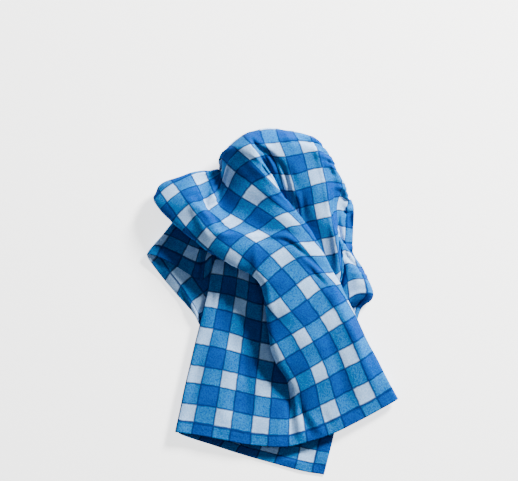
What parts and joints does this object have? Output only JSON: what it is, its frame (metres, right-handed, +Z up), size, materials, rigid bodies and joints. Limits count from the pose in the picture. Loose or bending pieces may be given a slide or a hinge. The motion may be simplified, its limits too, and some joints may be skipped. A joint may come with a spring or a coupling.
{
  "type": "cloth napkin",
  "caption": "Wrung wet checked cotton napkin, folded in two and twisted, lying flat on a surface.",
  "frame": {"origin": "on the surface that the cloth lies on, under the middle of its outline", "axes": "+Z up from the surface, +Y towards the far side where the cloth is bunched, +X to the right"},
  "size_m": [0.257, 0.345, 0.0455],
  "materials": {
    "napkin": "damp woven cotton"
  },
  "bodies": {
    "root": {"napkin": "napkin"}
  },
  "joints": []
}
